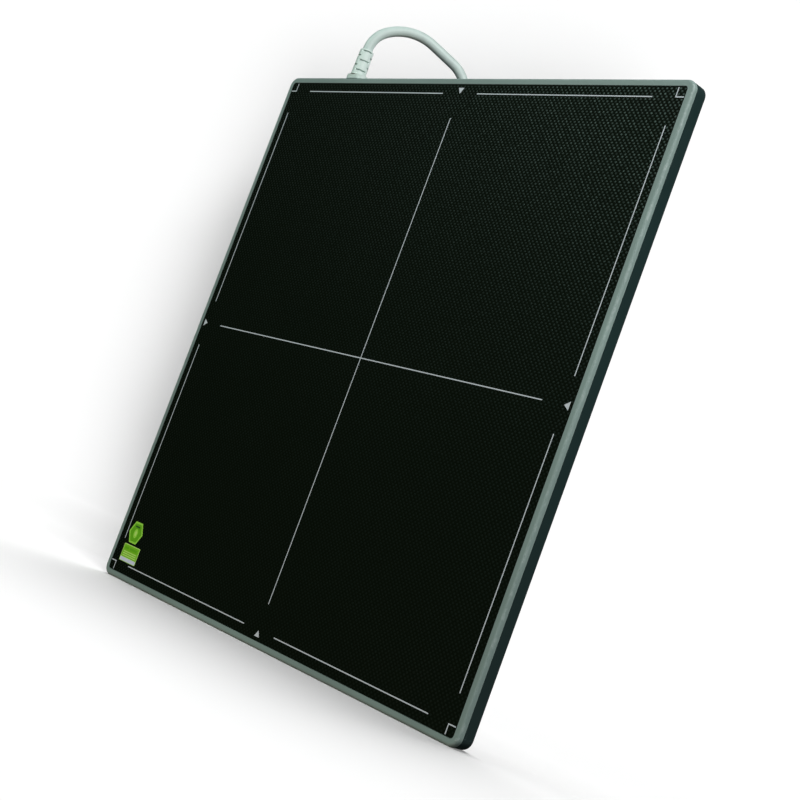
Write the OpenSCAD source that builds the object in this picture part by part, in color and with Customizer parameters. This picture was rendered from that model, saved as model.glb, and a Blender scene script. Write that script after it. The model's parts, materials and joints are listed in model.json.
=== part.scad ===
// Tethered flat-panel X-ray detector with a 43 x 43 cm image area.
// A thin square cassette: carbon-fibre window, light front frame, dark rear
// cover, and one strain-relieved cable that leaves the top edge and hangs
// behind the cassette. Millimetres.
//
// The part stands upright: X across the front, Z up, the window looks along -Y.
// The origin is the centre of the rear face.
// Most modules draw flat, with the front lip at z = 0 and depth along -z, and
// stand() turns them upright.

/* [Cassette] */
// Width of the cassette
body_w = 460; // [456:1:470]
// Height of the cassette
body_h = 460; // [456:1:470]
// Overall thickness from the front lip to the rear face
body_t = 15; // [15:0.1:15.6]
// Radius of the four outer corners
corner_r = 8; // [7.6:0.1:9]
// Depth of the light front frame, seen on the sides
frame_d = 4; // [3.9:0.05:4.05]
// Width of the flat lip around the window
lip_w = 5; // [4.6:0.1:5.2]
// Rounding of the front edge
front_round = 2; // [1.2:0.1:2.2]
// Rounding of the rear edge
rear_round = 2.6; // [1.5:0.1:2.8]
// Parting line between frame and cover
parting = 0.2; // [0.1:0.05:0.3]
// Thickness of the rear cover's floor
floor_t = 1.5; // [1.3:0.1:1.6]

/* [Window and markings] */
// Thickness of the woven carbon plate
window_t = 1.8; // [1.6:0.05:1.8]
// How far the plate sits below the lip
recess = 0.25; // [0.2:0.05:0.25]
// Gap between the plate and the lip
groove = 0.4; // [0.2:0.05:0.5]
// Distance from the image area's edge to the outside
margin = 13; // [12.5:0.1:13.5]
// Width of the printed lines
line_w = 0.8; // [0.6:0.1:1.6]
// Half of the gap in the middle of each border line
line_gap = 20; // [12:1:30]
// Distance from a border line's end to the image area's corner
line_end = 20.5; // [12:0.5:30]
// Length of the arms of the corner marks
corner_mark = 7.4; // [5:0.1:7.4]
// Height of the centring triangles
tri_h = 4.8; // [3:0.1:6]
// Width of the centring triangles
tri_w = 6.2; // [4:0.1:8]
// Thickness of the printed ink
ink_t = 0.04; // [0.02:0.01:0.06]

/* [Cable] */
// Distance of the cable exit from the cassette's middle
exit_x = 147.5; // [140:0.5:152]
// Diameter of the cable
cable_d = 8.6; // [8:0.1:8.6]
// Angle of the cable's loop, from straight back towards the middle
loop_turn = 30; // [0:1:45]
// Radius of the first part of the loop
loop_r1 = 24.5; // [22:0.5:30]
// Radius of the second part of the loop
loop_r2 = 43; // [36:0.5:50]
// Length of the straight part of the loop, sloping down
loop_l = 22.5; // [12:0.5:40]
// Radius of the last part of the loop, where the cable turns to hang
loop_r3 = 30; // [24:0.5:40]
// Length of the straight end of the cable
tail_l = 300; // [80:1:340]
// Height of the bend relief above the top edge
relief_h = 27.8; // [24:0.1:32]

/* [Fasteners] */
// Distance of the outer cover screws from the middle of a side
screw_far = 190; // [186:1:194]
// Distance of the inner cover screws from the middle of a side
screw_near = 63; // [60:1:66]

/* [Hidden] */

half_w = body_w / 2;
half_h = body_h / 2;
// inner parts shift with the cassette, from their places in a 460 mm one
scale_x = half_w / 230;
scale_y = half_h / 230;

mid_z = -body_t / 2;            // mid-depth of the side walls
floor_z = -body_t + floor_t;    // inside face of the rear cover
window_back = -recess - window_t;

// screws around the sides: insets from the outside, places along a side
boss_inset = 5.9;
cover_places = [-screw_far, -screw_near, screw_near, screw_far];
ear_places = [-109.5, 109.5];

// colours shared by several parts
label_green = [0.42, 0.72, 0.15];
pale_rubber = [0.78, 0.84, 0.81];
seal_black = [0.15, 0.15, 0.15];
part_black = [0.1, 0.1, 0.1];
core_grey = [0.3, 0.3, 0.3];
steel = [0.6, 0.6, 0.62];
aluminium = [0.7, 0.72, 0.74];
flex_amber = [0.75, 0.5, 0.15];
sensor_board_green = [0.05, 0.35, 0.2];
board_blue = [0.05, 0.3, 0.35];

// ---------- helpers ----------
// depths are always [front, rear]

// turn a flat drawing upright, with the rear face on y = 0
module stand() translate([0, -body_t, 0]) rotate([90, 0, 0]) children();

// upright cylinder that starts at z; $fn comes with the call
module rod(r, z, h) translate([0, 0, z]) cylinder(r = r, h = h);

// box given by its two corners
module block(from, to) translate(from) cube(to - from);

// box given by its centre and size in plan
module slab(centre, size, depths)
  block(concat(centre - size / 2, [depths[1]]), concat(centre + size / 2, [depths[0]]));

// rounded rectangle with true arcs
module rounded_rect(width, height, radius) {
  square([width - 2 * radius, height], center = true);
  square([width, height - 2 * radius], center = true);
  for (sx = [-1, 1], sy = [-1, 1])
    translate([sx * (width / 2 - radius), sy * (height / 2 - radius)])
      circle(r = radius, $fn = 64);
}

// rounded plate, inset from the outside
module plate(inset, radius, depths)
  translate([0, 0, depths[1]]) linear_extrude(depths[0] - depths[1])
    rounded_rect(body_w - 2 * inset, body_h - 2 * inset, radius);

// flat ring between an outer and an inner inset
module ring(outer, outer_r, inner, inner_r, depths) difference() {
  plate(outer, outer_r, depths);
  plate(inner, inner_r, depths + [1, -1]);
}

// what an outside corner leaves to cut away when it is rounded
module round_cut(radius) difference() {
  square(radius + 1);
  circle(r = radius, $fn = 64);
}

// the first value for the left and right sides, the second for top and bottom
function by_side(side, upright, level) = side % 2 == 0 ? upright : level;

// sweep a profile round the outside; the profile's x runs outwards from the
// corner centre, so x = corner_r is the outer face
module rim()
  for (side = [0 : 3]) {
    out = by_side(side, half_w, half_h);
    along = by_side(side, half_h, half_w);
    rotate([0, 0, side * 90]) translate([out - corner_r, along - corner_r, 0]) {
      rotate_extrude(angle = 90, $fn = 96) children();
      rotate([90, 0, 0]) linear_extrude(2 * (along - corner_r)) children();
    }
  }

// put a part at each screw place along all four sides
module on_sides(places)
  for (side = [0 : 3], place = places)
    rotate([0, 0, side * 90])
      translate([by_side(side, half_w, half_h) - boss_inset,
                 place * by_side(side, scale_y, scale_x), 0])
        children();

// mirror a part drawn in the +x +y corner into all four
module each_corner()
  for (sx = [-1, 1], sy = [-1, 1])
    mirror([sx < 0 ? 1 : 0, 0]) mirror([0, sy < 0 ? 1 : 0]) children();

// socket-head screw; head, shaft and socket are each [radius, start, length]
module cap_screw(head, shaft, socket) difference() {
  union() {
    rod(head[0], head[1], head[2], $fn = 32);
    rod(shaft[0], shaft[1], shaft[2], $fn = 24);
  }
  rod(socket[0], socket[1], socket[2], $fn = 6);
}

// ---------- cable entry, shared sizes ----------

gland_x = -exit_x;
cable_r = cable_d / 2;
flange_pitch = 8;               // flange screws, from the cable's middle
root_pivot = half_h + 4.8;      // where the relief bends, above the middle
cable_pivot = half_h + relief_h + 1.5;   // where the cable bends, above the middle

// point a drawing made along +z up the cassette, at the cable exit
module at_exit() translate([gland_x, 0, mid_z]) rotate([-90, 0, 0]) children();

module flange_pair() for (s = [-1, 1]) translate([s * flange_pitch, 0, 0]) children();

// bore for the flange's neck with a screw hole on each side
module entry_holes(bore_r, screw_r, start, length) {
  rod(r = bore_r, z = start, h = length, $fn = 48);
  flange_pair() rod(r = screw_r, z = start, h = length, $fn = 24);
}

// ---------- front ----------

area_x = half_w - margin;       // half of the image area
area_y = half_h - margin;

hex_at = [-half_w + 26.4, -half_h + 41.1];
hex_r = 10.7;
strip_from = [-half_w + 16.3, -half_h + 15.2];
strip_to = [-half_w + 41.7, -half_h + 30.1];
label_t = 0.12;
label_z = -recess + 0.02;

ledge_inset = 11;
spigot_outer = 2;               // insets of the spigot's two faces
spigot_inner = 3.8;
spigot_end = -11;

module carbon_window() color([0.05, 0.07, 0.06]) stand()
  plate(lip_w + groove, 2.6, [-recess, window_back]);

module ink_layer() translate([0, 0, -recess + 0.01]) linear_extrude(ink_t) children();

module window_markings() color([0.86, 0.87, 0.90]) stand() ink_layer() {
  // crosshair through the middle
  square([2 * (area_x - line_end), line_w], center = true);
  square([line_w, 2 * (area_y - line_end)], center = true);
  for (side = [0 : 3]) {
    out = by_side(side, area_x, area_y);
    reach = by_side(side, area_y, area_x) - line_end;
    rotate(side * 90) {
      // two border lines on each side of the image area
      for (s = [-1, 1])
        translate([out, s * (reach + line_gap) / 2])
          square([line_w, reach - line_gap], center = true);
      // centring triangle, its tip on the image area's edge
      translate([out, 0]) polygon([[0, 0], [tri_h, tri_w / 2], [tri_h, -tri_w / 2]]);
    }
  }
  // corner marks, open towards the cassette's corners
  each_corner() translate([area_x - line_w / 2, area_y - line_w / 2]) {
    square([corner_mark, line_w]);
    square([line_w, corner_mark]);
  }
}

module hex_label() color(label_green) stand()
  translate(hex_at) rod(r = hex_r, z = label_z, h = label_t, $fn = 6);

module strip_label() color(label_green) stand()
  block(concat(strip_from, [label_z]), concat(strip_to, [label_z + label_t]));

module window_adhesive() color(part_black) stand()
  ring(lip_w + groove + 0.2, 2.4, ledge_inset - 0.2, 1.5,
       [window_back - 0.02, window_back - 0.17]);

module lip_profile() difference() {
  translate([corner_r - lip_w, -frame_d]) square([lip_w, frame_d]);
  translate([corner_r - front_round, -front_round]) round_cut(front_round);
}

module front_frame() color([0.55, 0.62, 0.60]) stand() difference() {
  union() {
    rim() lip_profile();
    // ledge that carries the window
    ring(lip_w - 0.5, corner_r - lip_w + 0.5, ledge_inset, 1.5, [window_back - 0.2, -frame_d]);
    // spigot that slides into the rear cover
    ring(spigot_outer, corner_r - spigot_outer, spigot_inner, corner_r - spigot_inner,
         [-frame_d + 0.5, spigot_end]);
    // screw bosses and their webs
    on_sides(cover_places) {
      rod(r = 2, z = floor_z + 0.1, h = -floor_z - 2.6, $fn = 40);
      block([0, -1.1, spigot_end], [2.4, 1.1, -3]);
    }
    // short posts for the support plate
    on_sides(ear_places) rod(r = 2, z = -5.45, h = 2.5, $fn = 40);
  }
  on_sides(cover_places) rod(r = 1.03, z = floor_z - 1, h = 8, $fn = 24);
  on_sides(ear_places) rod(r = 0.83, z = -6, h = 3, $fn = 24);
  at_exit() entry_holes(bore_r = 3.52, screw_r = 0.73, start = half_h - 8, length = 12);
}

// ---------- rear ----------

cover_wall = 1.8;
rib_h = 1.5;                    // rib under the gasket, above the cover's floor
gasket_play = 0.05;
rating_from = [half_w - 170, -half_h + 55];
rating_to = [half_w - 80, -half_h + 105];

module rear_gasket() color(seal_black) stand()
  ring(spigot_outer + gasket_play, corner_r - spigot_outer - gasket_play,
       spigot_inner - gasket_play, corner_r - spigot_inner + gasket_play,
       [spigot_end - 0.03, floor_z + rib_h + 0.03]);

module cover_profile() difference() {
  union() {
    translate([corner_r - cover_wall, -body_t])
      square([cover_wall, body_t - frame_d - parting]);
    translate([0, -body_t]) square([corner_r - 1, floor_t]);
    // rib under the gasket
    translate([corner_r - spigot_inner, -body_t + 0.5])
      square([spigot_inner - 1, floor_t + rib_h - 0.5]);
  }
  translate([corner_r - rear_round, -body_t + rear_round]) mirror([0, 1])
    round_cut(rear_round);
}

// the rating plate's area, shrunk by a gap; depths count from the rear face
module rating_area(gap, depths)
  block([rating_from.x + gap, rating_from.y + gap, -body_t + depths[1]],
        [rating_to.x - gap, rating_to.y - gap, -body_t + depths[0]]);

module rear_cover() color([0.09, 0.14, 0.14]) stand() difference() {
  union() {
    rim() cover_profile();
    plate(4, corner_r - 4, [floor_z, -body_t]);
  }
  // countersunk screw holes
  on_sides(cover_places) {
    rod(r = 1.15, z = -body_t - 1, h = 4, $fn = 24);
    translate([0, 0, -body_t - 0.01]) cylinder(r1 = 2.05, r2 = 1.1, h = 0.95, $fn = 40);
  }
  // shallow seat for the rating plate
  rating_area(0, [0.3, -1]);
  at_exit() entry_holes(bore_r = 3.52, screw_r = 0.85, start = half_h - 5, length = 12);
}

module cover_screws() color([0.3, 0.32, 0.33]) stand() on_sides(cover_places) difference() {
  union() {
    translate([0, 0, -body_t + 0.03]) cylinder(r1 = 1.93, r2 = 1.0, h = 0.92, $fn = 40);
    rod(r = 1.0, z = -body_t + 0.5, h = 7, $fn = 24);
  }
  rod(r = 0.75, z = -body_t - 1, h = 1.6, $fn = 6);
}

module rating_plate() color([0.75, 0.76, 0.77]) stand() rating_area(0.1, [0.28, 0.03]);

// ---------- image receptor ----------

// depths of the layers, front to rear
foam_z = [window_back - 0.05, -3.6];
scintillator_z = [-3.65, -4.25];
glass_z = [-4.3, -5];
lead_z = [-5.04, -5.44];
support_z = [-5.48, -8];

module front_foam() color([0.25, 0.25, 0.27]) stand() plate(11.6, 2, foam_z);
module scintillator() color([0.92, 0.92, 0.85]) stand() plate(12, 1, scintillator_z);
module sensor_glass() color([0.45, 0.5, 0.55]) stand() plate(8.2, 0.8, glass_z);
module lead_shield() color([0.35, 0.36, 0.38]) stand() plate(11, 1, lead_z);

module support_plate() color(aluminium) stand() difference() {
  union() {
    plate(9.5, 3, support_z);
    // screw ears
    on_sides(ear_places) block([-6, -3.8, support_z[1]], [1.9, 3.8, support_z[0]]);
  }
  on_sides(ear_places) rod(r = 0.95, z = -9, h = 5, $fn = 24);
}

module corner_bumpers() color([0.12, 0.12, 0.12]) stand()
  each_corner() intersection() {
    ring(4, corner_r - 4, 7.9, 0.6, [-4.3, -7.9]);
    block([half_w - 24, half_h - 24, -9], [half_w, half_h, -3]);
  }

module plate_screws() color(steel) stand() on_sides(ear_places)
  cap_screw(head = [1.6, -9, 0.98], shaft = [0.8, -8.6, 5.2], socket = [0.7, -9.5, 1]);

// ---------- flexible circuits ----------

// places along the bottom; the left side has one more
readout_places = [-128, -91, -36, 0, 36, 91, 128, 162];
gate_places = concat([-162], readout_places);
flex_w = 26;
flex_t = 0.1;
flex_inset = 7.6;               // outer face of the fold, from the outside
flex_z = [-4.18, -10.34];
flex_chip_z = [-10.36, -11];

// turn a part drawn on the +x side to the bottom or to the left side
module at_readouts() rotate([0, 0, -90])
  for (place = readout_places) translate([0, place * scale_x, 0]) children();
module at_gates() rotate([0, 0, 180])
  for (place = gate_places) translate([0, place * scale_y, 0]) children();

// bonded to the glass front, folded round the plate's edge;
// out is the cassette's outer face
module flex(out) {
  fold = out - flex_inset;
  block([out - 11.3, -flex_w / 2, flex_z[0] - flex_t], [fold, flex_w / 2, flex_z[0]]);
  block([fold - flex_t, -flex_w / 2, flex_z[1]], [fold, flex_w / 2, flex_z[0]]);
  block([out - 30, -flex_w / 2, flex_z[1]], [fold, flex_w / 2, flex_z[1] + flex_t]);
}

module flex_chip(out, size) slab([out - 17, 0], size, flex_chip_z);

module readout_flexes() color(flex_amber) stand() at_readouts() flex(half_h);
module readout_chips() color(part_black) stand() at_readouts() flex_chip(half_h, [3, 16]);
module gate_flexes() color(flex_amber) stand() at_gates() flex(half_w);
module gate_chips() color(part_black) stand() at_gates() flex_chip(half_w, [2.4, 12]);

// ---------- boards ----------

board_z = [-9.2, -10.2];
part_gap = 0.02;
part_face = board_z[1] - part_gap;   // where parts start on a board's rear side

// each board: [centre, size]
readout_plan = [[16 * scale_x, -179 * scale_y], [332, 56]];
gate_plan = [[-190 * scale_x, 0], [36, 364]];
main_plan = [[gland_x + 55.5, 96 * scale_y], [130, 192]];
power_plan = [[65 * scale_x, 126 * scale_y], [130, 132]];
plans = [readout_plan, gate_plan, main_plan, power_plan];

// a board's corners towards -x -y and +x +y
function low(plan) = plan[0] - plan[1] / 2;
function high(plan) = plan[0] + plan[1] / 2;

// the four corner holes of a board
module board_corners(plan)
  for (sx = [-1, 1], sy = [-1, 1])
    translate([plan[0].x + sx * (plan[1].x / 2 - 5), plan[0].y + sy * (plan[1].y / 2 - 5), 0])
      children();

module board(plan) difference() {
  slab(plan[0], plan[1], board_z);
  board_corners(plan) rod(r = 0.9, z = board_z[1] - 1, h = 3, $fn = 24);
}

module readout_board() color(sensor_board_green) stand() board(readout_plan);
module gate_board() color(sensor_board_green) stand() board(gate_plan);
module main_board() color(board_blue) stand() board(main_plan);
module power_board() color(board_blue) stand() board(power_plan);

module board_standoffs() color([0.8, 0.7, 0.4]) stand()
  for (plan = plans) board_corners(plan) difference() {
    rod(r = 2, z = board_z[0] + part_gap,
        h = support_z[1] - board_z[0] - 2 * part_gap, $fn = 32);
    rod(r = 0.78, z = board_z[0] - 1, h = 4, $fn = 24);
  }

module board_screws() color(steel) stand()
  for (plan = plans) board_corners(plan)
    cap_screw(head = [1.5, board_z[1] - 0.82, 0.8],
              shaft = [0.75, board_z[1] - 0.5, 2.5],
              socket = [0.65, board_z[1] - 1.5, 1.1]);

// ribbons between boards: [first connector, second connector, ribbon width]
link_x = -105 * scale_x;
links = [
  [[link_x, high(readout_plan).y - 7], [link_x, low(main_plan).y + 7], 30],
  [[high(gate_plan).x - 4, 100], [low(main_plan).x + 5, 100], 20],
  [[high(main_plan).x - 5, 130], [low(power_plan).x + 5, 130], 20],
];
connector_w = 5;
function along(link) = (link[1] - link[0]) / norm(link[1] - link[0]);
function across(link) = [along(link).y, along(link).x];

module board_connectors() color([0.85, 0.85, 0.8]) stand()
  for (link = links, end = [0, 1])
    slab(link[end], connector_w * along(link) + (link[2] + 4) * across(link),
         [part_face, board_z[1] - 1.5]);

module board_ribbons() color([0.85, 0.85, 0.9]) stand()
  for (link = links) {
    inset = (connector_w / 2 + 0.05) * along(link);
    side = link[2] / 2 * across(link);
    block(concat(link[0] + inset - side, [board_z[1] - 0.7]),
          concat(link[1] - inset + side, [board_z[1] - 0.55]));
  }

// ---------- parts on the boards ----------

// the large chip on the main board, under the thermal pad
big_chip_at = [0, 24];          // from the board's centre
big_chip_size = [24, 24];

module chip(centre, size, thick) slab(centre, size, [part_face, part_face - thick]);

module main_chips() color([0.12, 0.12, 0.13]) stand() translate(main_plan[0]) {
  chip(big_chip_at, big_chip_size, 1.5);
  for (i = [-1, 0, 1]) chip([38, 24 + i * 14], [10, 11], 1.1);
  for (i = [0 : 2]) chip([-30 + i * 22, -22], [14, 10], 1.3);
  chip([-40, 62], [15, 12], 2.2);
  for (i = [0 : 4]) chip([-10 + i * 9, 78], [4, 6], 1.2);
}

module power_parts() color([0.2, 0.2, 0.22]) stand() translate(power_plan[0]) {
  for (i = [0 : 2])
    translate([-30 + i * 22, 30]) rod(r = 6, z = part_face - 2.6, h = 2.6, $fn = 40);
  for (i = [0 : 5], j = [0, 1]) chip([-32 + i * 12, -4 - j * 14], [6, 8], 2);
  chip([38, 30], [16, 16], 1.6);
  chip([0, -46], [60, 12], 2.4);
}

module thermal_pad() color([0.5, 0.55, 0.75]) stand()
  slab(main_plan[0] + big_chip_at, big_chip_size, [part_face - 1.52, part_face - 2.1]);

module heat_spreader() color([0.75, 0.76, 0.78]) stand()
  slab(main_plan[0] + big_chip_at, [56, 52], [part_face - 2.12, floor_z + 0.1]);

// ---------- cable entry ----------

// rounded-end plate outline about the exit axis
module obround(width, height) {
  square([width - height, height], center = true);
  for (s = [-1, 1]) translate([s * (width - height) / 2, 0]) circle(r = height / 2, $fn = 64);
}

module cable_flange() color(pale_rubber) stand() at_exit() difference() {
  union() {
    translate([0, 0, half_h + 0.62]) linear_extrude(3.98) obround(21.5, 11.4);
    rod(r = 3.48, z = half_h - 4.6, h = 6, $fn = 48);
  }
  // ball seat for the bend relief's root
  translate([0, 0, root_pivot]) sphere(r = cable_r + 0.3, $fn = 64);
  rod(r = 2.65, z = half_h - 6, h = 14, $fn = 48);
  // counterbored screw holes
  flange_pair() {
    rod(r = 0.85, z = half_h, h = 8, $fn = 24);
    rod(r = 1.45, z = half_h + 3.6, h = 3, $fn = 32);
  }
}

module flange_seal() color(seal_black) stand() at_exit() difference() {
  translate([0, 0, half_h + 0.03]) linear_extrude(0.56) obround(21.2, 11.1);
  entry_holes(bore_r = 3.55, screw_r = 0.85, start = half_h - 1, length = 3);
}

module flange_screws() color(steel) stand() at_exit() flange_pair()
  cap_screw(head = [1.35, half_h + 3.63, 0.85],
            shaft = [0.7, half_h - 3.6, 7.6],
            socket = [0.6, half_h + 4, 1]);

module cable_core_inlet() color(core_grey) stand() at_exit()
  rod(r = 2.6, z = half_h - 4.2, h = 4.2, $fn = 48);

// the wires run down from the core, slope to the rear, then run to the socket
wire_pitch = 1.02;
wire_top = half_h - 4.25;
slope_top = half_h - 18;
slope_bottom = half_h - 30;
wire_z = [-8.95, -11.4];        // depths before and after the slope
wire_drop = wire_z[0] - wire_z[1];
socket_top = high(main_plan).y - 9;
socket_size = [12, 9];

// length of wire that runs down the cassette, tilted to the rear
module wire_run(length, tilt = 0)
  rotate([90 + tilt, 0, 0]) cylinder(r = 0.48, h = length, $fn = 20);

module wire() {
  slope_h = slope_top - slope_bottom;
  translate([0, wire_top, wire_z[0]]) wire_run(wire_top - slope_top);
  translate([0, slope_top, wire_z[0]]) {
    sphere(r = 0.5, $fn = 24);
    wire_run(norm([wire_drop, slope_h]), atan2(wire_drop, slope_h));
  }
  translate([0, slope_bottom, wire_z[1]]) {
    sphere(r = 0.5, $fn = 24);
    wire_run(slope_bottom - socket_top - 0.05);
  }
}

module inlet_wires() color([0.7, 0.2, 0.2]) stand()
  for (i = [-1.5, -0.5, 0.5, 1.5]) translate([gland_x + i * wire_pitch, 0, 0]) wire();

module inlet_socket() color([0.9, 0.9, 0.85]) stand()
  slab([gland_x, socket_top - socket_size.y / 2], socket_size, [part_face, board_z[1] - 2.6]);

// ---------- bend relief ----------

relief_start = root_pivot + 1.8;

// two opposite slots beside the cable
module slot_pair(height)
  for (turn = [0, 180])
    rotate([0, 0, turn]) translate([cable_r + 0.5, -4, 0]) cube([4, 8, height]);

module bend_relief() color(pale_rubber) stand() at_exit() difference() {
  translate([0, 0, relief_start])
    cylinder(r1 = 6.4, r2 = 5.9, h = half_h + relief_h - relief_start, $fn = 64);
  rod(r = cable_r + 0.02, z = root_pivot, h = 60, $fn = 64);
  translate([0, 0, cable_pivot]) sphere(r = cable_r + 0.45, $fn = 64);
  // staggered slots that let the relief bend, in line with the loop and across it
  for (i = [0 : 4]) translate([0, 0, root_pivot + 3.4 + i * 4.3])
    rotate([0, 0, 180 - loop_turn - (i % 2) * 90]) slot_pair(1.2);
}

module cable_in_relief() color(pale_rubber) stand() at_exit() difference() {
  union() {
    translate([0, 0, root_pivot]) sphere(r = cable_r, $fn = 64);
    rod(r = cable_r, z = root_pivot, h = cable_pivot - root_pivot - 1.5, $fn = 64);
  }
  translate([0, 0, cable_pivot]) sphere(r = cable_r + 0.25, $fn = 64);
}

// ---------- cable ----------

bore_r = 3.1;                   // inside the cable's jacket
core_r = 3.05;

// angles of the three bends; their sines and cosines end after four decimals,
// so the lengths of cable meet exactly, face to face
loop_a1 = atan2(0.8, 0.6);
loop_a2 = atan2(0.8432, 0.5376);
loop_a3 = atan2(0.936, 0.352);

// length of cable that starts at the origin along +z and turns towards +x:
// a full ring, cut off before its start and past its end
module bend(radius, angle) difference() {
  translate([radius, 0, 0]) rotate([90, 0, 0])
    rotate_extrude($fn = 96) translate([radius, 0]) children();
  translate([-20, -20, -200]) cube([200, 40, 200]);
  translate([radius, 0, 0]) rotate([0, angle, 0])
    translate([-150, -20, 0]) cube([300, 40, 200]);
}

module after_bend(radius, angle)
  translate([radius * (1 - cos(angle)), 0, radius * sin(angle)]) rotate([0, angle, 0]) children();

module loop_frame() stand() at_exit()
  translate([0, 0, cable_pivot]) rotate([0, 0, 90 - loop_turn]) children();

module section(radius, hollow) difference() {
  circle(r = radius, $fn = 64);
  if (hollow > 0) circle(r = hollow, $fn = 64);
}

// the cable's line: up, over, behind the cassette, then down
module cable_line(radius, hollow) {
  bend(loop_r1, loop_a1) section(radius, hollow);
  after_bend(loop_r1, loop_a1) {
    bend(loop_r2, loop_a2) section(radius, hollow);
    after_bend(loop_r2, loop_a2) {
      linear_extrude(loop_l) section(radius, hollow);
      translate([0, 0, loop_l]) {
        bend(loop_r3, loop_a3) section(radius, hollow);
        after_bend(loop_r3, loop_a3) linear_extrude(tail_l) section(radius, hollow);
      }
    }
  }
}

module at_tail() loop_frame() after_bend(loop_r1, loop_a1) after_bend(loop_r2, loop_a2)
  translate([0, 0, loop_l]) after_bend(loop_r3, loop_a3) translate([0, 0, tail_l]) children();

module tether_cable() color(pale_rubber) loop_frame() {
  cable_line(cable_r, bore_r);
  // closed root that turns in the bend relief's seat
  rotate_extrude($fn = 96) intersection() {
    circle(r = cable_r, $fn = 64);
    translate([0, -20]) square(20);
  }
}

module cable_core() color(core_grey) loop_frame() cable_line(core_r, 0);

// ---------- plug, drawn along +z from the cable's end ----------

cavity_z = 28;                  // floor of the shell's open end

module plug_boot() color([0.15, 0.16, 0.17]) at_tail() difference() {
  translate([0, 0, -16]) cylinder(r1 = 5.4, r2 = 7, h = 16, $fn = 64);
  rod(r = cable_r + 0.03, z = -20, h = 30, $fn = 64);
  for (i = [0 : 2])
    translate([0, 0, -13 + i * 4.2]) rotate([0, 0, (i % 2) * 90]) slot_pair(1.3);
}

module plug_shell() color(aluminium) at_tail() difference() {
  union() {
    rod(r = 8.5, z = 0.05, h = 26, $fn = 64);
    rod(r = 7, z = 26, h = 14, $fn = 64);
  }
  // grip grooves
  for (i = [0 : 3]) translate([0, 0, 5 + i * 4]) difference() {
    cylinder(r = 10, h = 1.6, $fn = 64);
    rod(r = 7.9, z = -1, h = 4, $fn = 64);
  }
  rod(r = 6.1, z = cavity_z, h = 20, $fn = 64);
  rod(r = bore_r, z = -1, h = 12, $fn = 48);
}

// two rings of pins: [count, ring radius]
module pin_rods(r, z, h)
  for (row = [[8, 4], [4, 1.7]], i = [0 : row[0] - 1])
    rotate([0, 0, i * 360 / row[0]]) translate([row[1], 0, 0]) rod(r, z, h, $fn = 24);

module plug_insert() color(part_black) at_tail() difference() {
  rod(r = 6.05, z = cavity_z + 0.03, h = 5, $fn = 64);
  pin_rods(r = 0.47, z = cavity_z + 1, h = 10);
}

module plug_pins() color([0.85, 0.7, 0.3]) at_tail()
  pin_rods(r = 0.45, z = cavity_z + 1.05, h = 9);

carbon_window();
window_markings();
hex_label();
strip_label();
window_adhesive();
front_frame();
rear_gasket();
rear_cover();
cover_screws();
rating_plate();
front_foam();
scintillator();
sensor_glass();
lead_shield();
support_plate();
corner_bumpers();
plate_screws();
readout_flexes();
readout_chips();
gate_flexes();
gate_chips();
readout_board();
gate_board();
main_board();
power_board();
board_standoffs();
board_screws();
board_connectors();
board_ribbons();
main_chips();
power_parts();
thermal_pad();
heat_spreader();
cable_flange();
flange_seal();
flange_screws();
cable_core_inlet();
inlet_wires();
inlet_socket();
bend_relief();
cable_in_relief();
tether_cable();
cable_core();
plug_boot();
plug_shell();
plug_insert();
plug_pins();
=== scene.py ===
"""A flat square detector panel with a rubber bend relief and a tether cable.

The panel stands upright on its -Z edge with its front face towards -Y. The cable
leaves the top (+Z) edge near the left (-X) end, arches over and hangs down behind.
Lengths are metres, except where a section says millimetres.
"""
import json
import math
from functools import cached_property

import bmesh
import bpy
from mathutils import Matrix, Vector


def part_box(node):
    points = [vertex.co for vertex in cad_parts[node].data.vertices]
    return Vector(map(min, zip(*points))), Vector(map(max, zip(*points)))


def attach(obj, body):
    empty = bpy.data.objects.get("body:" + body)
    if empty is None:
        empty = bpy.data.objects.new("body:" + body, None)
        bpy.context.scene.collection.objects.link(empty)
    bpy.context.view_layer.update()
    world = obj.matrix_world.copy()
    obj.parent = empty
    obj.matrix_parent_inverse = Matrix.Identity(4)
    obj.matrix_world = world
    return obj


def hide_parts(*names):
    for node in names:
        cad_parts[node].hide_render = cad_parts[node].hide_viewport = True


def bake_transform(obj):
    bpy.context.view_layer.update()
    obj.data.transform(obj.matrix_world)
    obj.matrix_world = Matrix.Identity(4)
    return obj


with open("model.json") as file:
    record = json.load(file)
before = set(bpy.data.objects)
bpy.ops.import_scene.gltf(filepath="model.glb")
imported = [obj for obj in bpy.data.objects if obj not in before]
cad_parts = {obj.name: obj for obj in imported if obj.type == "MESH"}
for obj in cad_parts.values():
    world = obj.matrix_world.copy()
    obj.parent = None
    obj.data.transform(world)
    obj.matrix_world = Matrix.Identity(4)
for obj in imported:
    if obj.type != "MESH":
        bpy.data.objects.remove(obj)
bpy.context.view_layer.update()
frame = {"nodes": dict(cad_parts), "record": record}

nodes = frame["nodes"]

MM = 0.001
HALF_SIDE = 0.230        # panel centre to its outer edges, along X and Z
FRONT_DEPTH = 0.015      # origin to the front face, towards -Y


# ---------- material tools ----------

def srgb(*levels):
    """Linear colour from red, green and blue levels of 0 to 255."""
    def linear(level):
        c = level / 255.0
        return c / 12.92 if c <= 0.04045 else ((c + 0.055) / 1.055) ** 2.4
    return tuple(linear(level) for level in levels) + (1.0,)


def shade(colour, factor):
    return tuple(min(1.0, c * factor) for c in colour[:3]) + (1.0,)


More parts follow.
